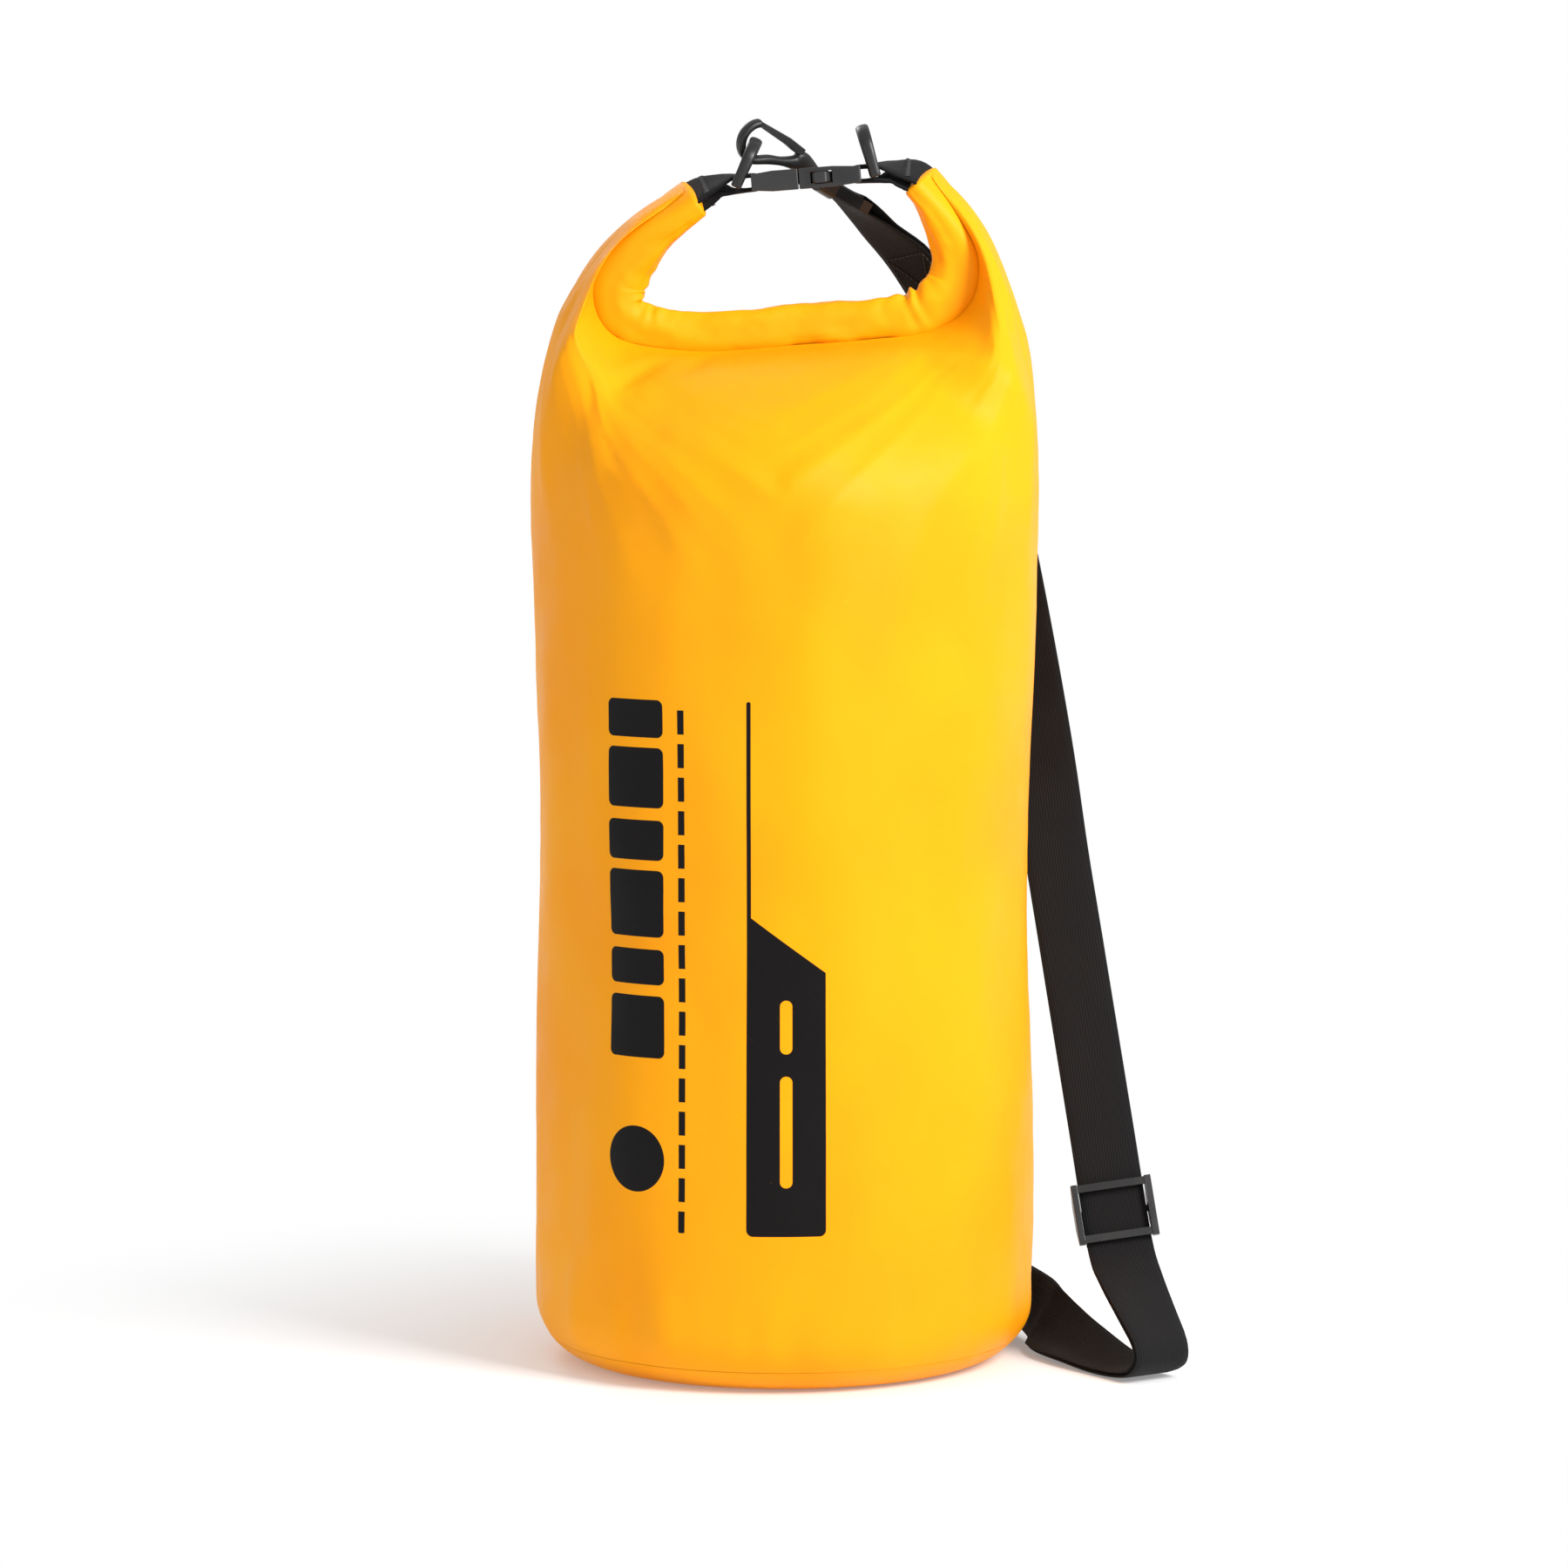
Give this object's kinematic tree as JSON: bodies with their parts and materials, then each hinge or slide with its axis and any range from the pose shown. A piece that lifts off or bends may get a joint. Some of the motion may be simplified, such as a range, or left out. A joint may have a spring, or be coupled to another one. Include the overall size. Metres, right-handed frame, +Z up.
{
  "type": "dry bag",
  "caption": "Round roll-top dry bag, closed: rolled mouth clipped into a carry loop by a side-release buckle, with a webbing shoulder strap, slider, snap hook and D-rings.",
  "frame": {"origin": "centre of the round base, on the ground", "axes": "+Z up along the bag, -Y towards the printed front, +X towards the shoulder strap"},
  "size_m": [0.2993, 0.2349, 0.5711],
  "materials": {
    "yellow_fabric": "satin coated tarpaulin",
    "inner_coating": "matte film tape",
    "stiffener_plastic": "matte strip",
    "black_webbing": "woven webbing",
    "black_plastic": "satin moulded"
  },
  "bodies": {
    "bag": {"body_shell": "yellow_fabric", "base_panel": "yellow_fabric", "back_seam_tape": "inner_coating", "rolled_top": "yellow_fabric", "mouth_stiffener": "stiffener_plastic", "closure_tab_left": "black_webbing", "closure_tab_right": "black_webbing", "buckle_socket": "black_plastic", "buckle_plug": "black_plastic", "hook_swivel": "black_plastic", "shoulder_strap": "black_webbing", "strap_return": "black_webbing", "anchor_patch": "yellow_fabric", "anchor_loop": "black_webbing"},
    "arm_front": {"buckle_arm_front": "black_plastic"},
    "arm_back": {"buckle_arm_back": "black_plastic"},
    "ring_left": {"d_ring_left": "black_plastic"},
    "ring_right": {"d_ring_right": "black_plastic"},
    "hook": {"hook_body": "black_plastic"},
    "gate": {"hook_gate": "black_plastic"},
    "slider": {"strap_slider": "black_plastic"},
    "anchor": {"anchor_ring": "black_plastic"}
  },
  "joints": [
    {"name": "release_front", "type": "hinge", "parent": "bag", "child": "arm_front", "pos_m": [0.00701, -0.01, 0.54326], "axis": [-0.0785, 0, 0.9969], "range_deg": [0, 12], "stiffness_Nm_per_rad": 1},
    {"name": "release_back", "type": "hinge", "parent": "bag", "child": "arm_back", "pos_m": [0.00701, 0.01, 0.54326], "axis": [0.0785, 0, -0.9969], "range_deg": [0, 12], "stiffness_Nm_per_rad": 1},
    {"name": "ring_left_swing", "type": "hinge", "parent": "bag", "child": "ring_left", "pos_m": [-0.0214, 0, 0.54103], "axis": [0, 1, 0], "range_deg": [-2, 1.5]},
    {"name": "ring_right_swing", "type": "hinge", "parent": "bag", "child": "ring_right", "pos_m": [0.0414, 0, 0.54597], "axis": [0, 1, 0], "range_deg": [-10, 72]},
    {"name": "hook_turn", "type": "hinge", "parent": "bag", "child": "hook", "pos_m": [0.029, 0.0415, 0.5355], "axis": [-0.6807, -0.606, 0.4117], "range_deg": [-3, 3]},
    {"name": "gate_open", "type": "hinge", "parent": "hook", "child": "gate", "pos_m": [0.00689, 0.01896, 0.55612], "axis": [0.5185, -0.7955, -0.3136], "range_deg": [0, 10], "stiffness_Nm_per_rad": 0.02},
    {"name": "slider_slide", "type": "slide", "parent": "bag", "child": "slider", "axis": [-0.1465, 0.3191, 0.9363], "range_m": [0, 0.12], "deforming": ["strap_return"]},
    {"name": "anchor_swing", "type": "hinge", "parent": "bag", "child": "anchor", "pos_m": [0.05351, 0.10875, 0.04], "axis": [0, 0, 1], "range_deg": [-3, 3]}
  ]
}
